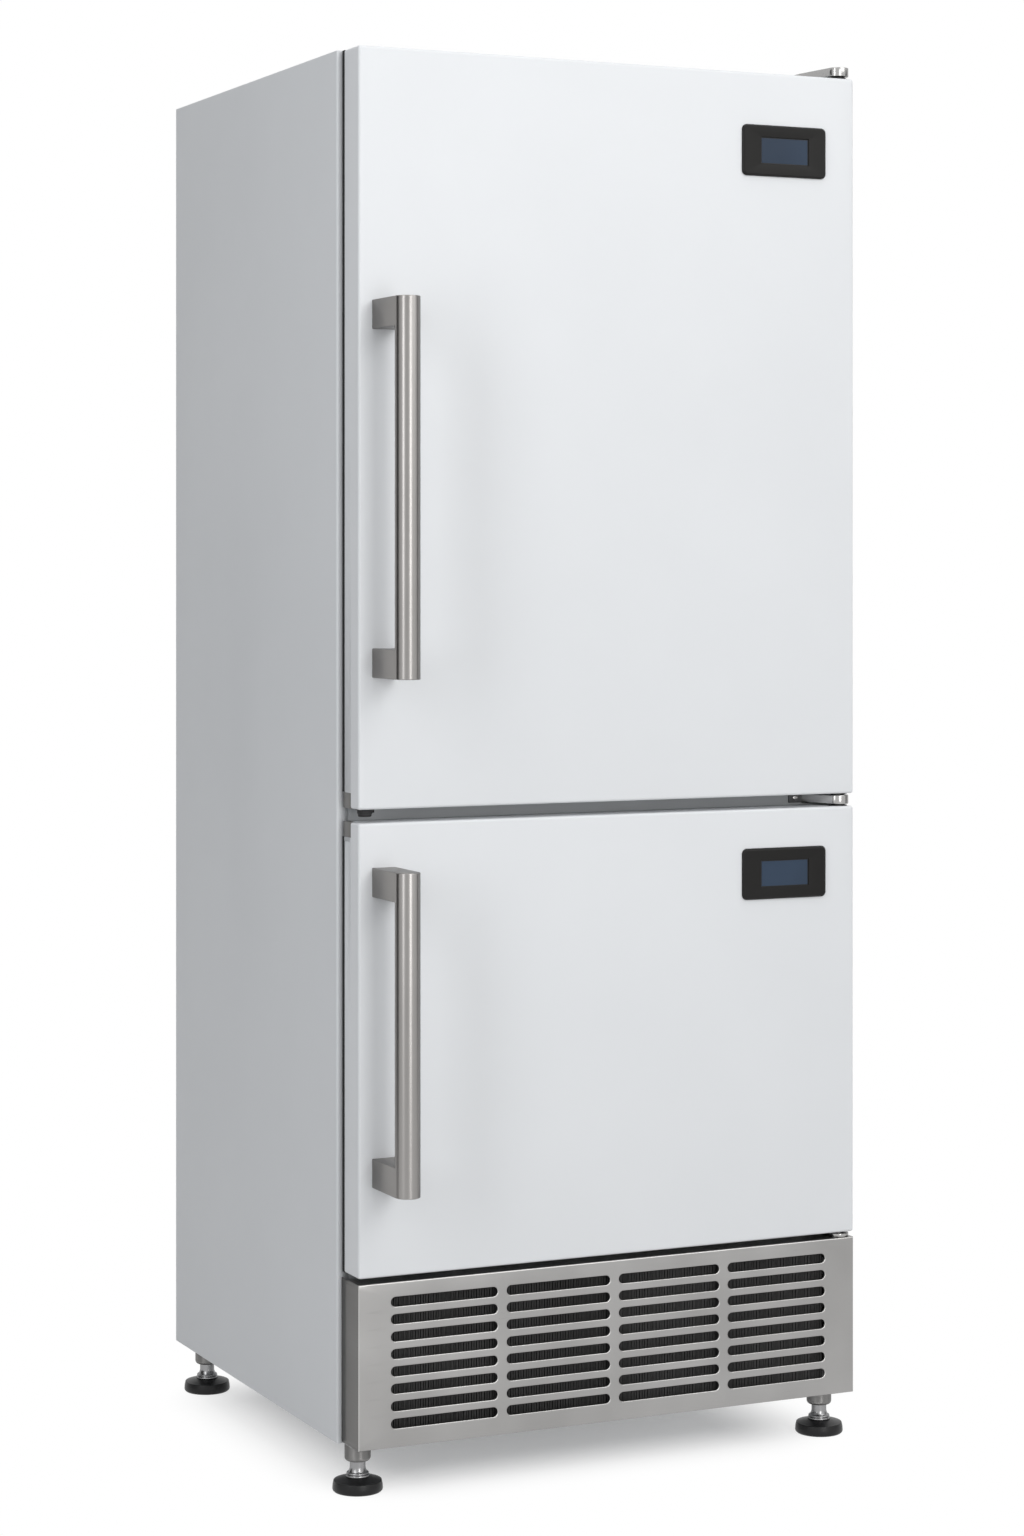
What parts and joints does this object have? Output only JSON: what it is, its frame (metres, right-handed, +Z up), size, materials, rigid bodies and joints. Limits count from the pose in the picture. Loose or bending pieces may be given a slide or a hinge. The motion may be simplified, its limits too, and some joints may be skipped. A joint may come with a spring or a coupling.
{
  "type": "laboratory refrigerator freezer",
  "caption": "Upright laboratory refrigerator above a freezer: white cabinet, right-hinged doors with tube handles and displays, slotted steel plinth, levelling feet.",
  "frame": {"origin": "on the floor, under the centre of the bounding box", "axes": "+X to the right of someone facing the doors, +Y from the doors to the back, +Z up"},
  "size_m": [0.7416, 0.767, 1.848],
  "materials": {
    "cabinet_paint": "satin powder coat",
    "door_paint": "satin powder coat",
    "zinc_steel": "zinc plated",
    "foam": "closed-cell foam",
    "liner_plastic": "smooth",
    "frame_plastic": "satin",
    "hinge_chrome": "polished",
    "plinth_steel": "fine brushed",
    "handle_steel": "satin polished",
    "foot_steel": "polished",
    "shelf_steel": "satin",
    "black_plastic": "satin",
    "bezel_plastic": "satin charcoal",
    "screen_film": "smooth, dark blue",
    "gasket_rubber": "matte",
    "pad_rubber": "satin",
    "coil_black": "black coated",
    "coil_aluminium": "mill",
    "cover_plastic": "smooth",
    "compressor_black": "satin black paint",
    "fan_plastic": "satin",
    "motor_steel": "satin",
    "port_plastic": "smooth"
  },
  "bodies": {
    "cabinet": {"back_panel": "zinc_steel", "base_pan": "zinc_steel", "bottom_hinge": "hinge_chrome", "cable_port": "port_plastic", "condenser": "coil_black", "condenser_fan_shroud": "zinc_steel", "fan_motors": "motor_steel", "freezer_compressor": "compressor_black", "freezer_evaporator": "coil_aluminium", "freezer_evaporator_cover": "cover_plastic", "freezer_liner": "liner_plastic", "freezer_shelf_1": "shelf_steel", "freezer_shelf_2": "shelf_steel", "fridge_compressor": "compressor_black", "fridge_evaporator": "coil_aluminium", "fridge_evaporator_cover": "cover_plastic", "fridge_liner": "liner_plastic", "fridge_shelf_1": "shelf_steel", "fridge_shelf_2": "shelf_steel", "fridge_shelf_3": "shelf_steel", "front_frame": "frame_plastic", "insulation": "foam", "left_side_panel": "cabinet_paint", "leg_sleeves": "foot_steel", "mains_inlet": "black_plastic", "middle_hinge": "hinge_chrome", "plinth_grille": "plinth_steel", "rear_grille": "zinc_steel", "right_side_panel": "cabinet_paint", "shelf_clips": "shelf_steel", "shelf_pilasters": "shelf_steel", "top_hinge": "hinge_chrome", "top_panel": "cabinet_paint"},
    "upper_door": {"upper_corner_block": "foot_steel", "upper_display_bezel": "bezel_plastic", "upper_display_screen": "screen_film", "upper_door_bushes": "black_plastic", "upper_door_gasket": "gasket_rubber", "upper_door_liner": "liner_plastic", "upper_door_skin": "door_paint", "upper_handle": "handle_steel"},
    "lower_door": {"lower_corner_block": "foot_steel", "lower_display_bezel": "bezel_plastic", "lower_display_screen": "screen_film", "lower_door_bushes": "black_plastic", "lower_door_gasket": "gasket_rubber", "lower_door_liner": "liner_plastic", "lower_door_skin": "door_paint", "lower_handle": "handle_steel"},
    "fridge_fan": {"fridge_fan": "fan_plastic"},
    "freezer_fan": {"freezer_fan": "fan_plastic"},
    "condenser_fan": {"condenser_fan": "fan_plastic"},
    "front_left_foot": {"front_left_foot_pad": "pad_rubber", "front_left_foot_spindle": "foot_steel"},
    "front_right_foot": {"front_right_foot_pad": "pad_rubber", "front_right_foot_spindle": "foot_steel"},
    "back_left_foot": {"back_left_foot_pad": "pad_rubber", "back_left_foot_spindle": "foot_steel"},
    "back_right_foot": {"back_right_foot_pad": "pad_rubber", "back_right_foot_spindle": "foot_steel"}
  },
  "joints": [
    {"name": "upper_door_hinge", "type": "hinge", "parent": "cabinet", "child": "upper_door", "pos_m": [0.345, -0.2755, 1.35165], "axis": [0, 0, 1], "range_deg": [0, 110]},
    {"name": "lower_door_hinge", "type": "hinge", "parent": "cabinet", "child": "lower_door", "pos_m": [0.345, -0.2755, 0.5673], "axis": [0, 0, 1], "range_deg": [0, 110]},
    {"name": "fridge_fan_spin", "type": "hinge", "parent": "cabinet", "child": "fridge_fan", "pos_m": [0, 0.264, 1.658], "axis": [0, 1, 0], "continuous": true},
    {"name": "freezer_fan_spin", "type": "hinge", "parent": "cabinet", "child": "freezer_fan", "pos_m": [0, 0.264, 0.6973], "axis": [0, 1, 0], "continuous": true},
    {"name": "condenser_fan_spin", "type": "hinge", "parent": "cabinet", "child": "condenser_fan", "pos_m": [0, -0.2155, 0.1585], "axis": [0, 1, 0], "continuous": true},
    {"name": "front_left_foot_level", "type": "slide", "parent": "cabinet", "child": "front_left_foot", "axis": [0, 0, 1], "range_m": [-0.012, 0.012]},
    {"name": "front_right_foot_level", "type": "slide", "parent": "cabinet", "child": "front_right_foot", "axis": [0, 0, 1], "range_m": [-0.012, 0.012]},
    {"name": "back_left_foot_level", "type": "slide", "parent": "cabinet", "child": "back_left_foot", "axis": [0, 0, 1], "range_m": [-0.012, 0.012]},
    {"name": "back_right_foot_level", "type": "slide", "parent": "cabinet", "child": "back_right_foot", "axis": [0, 0, 1], "range_m": [-0.012, 0.012]}
  ]
}
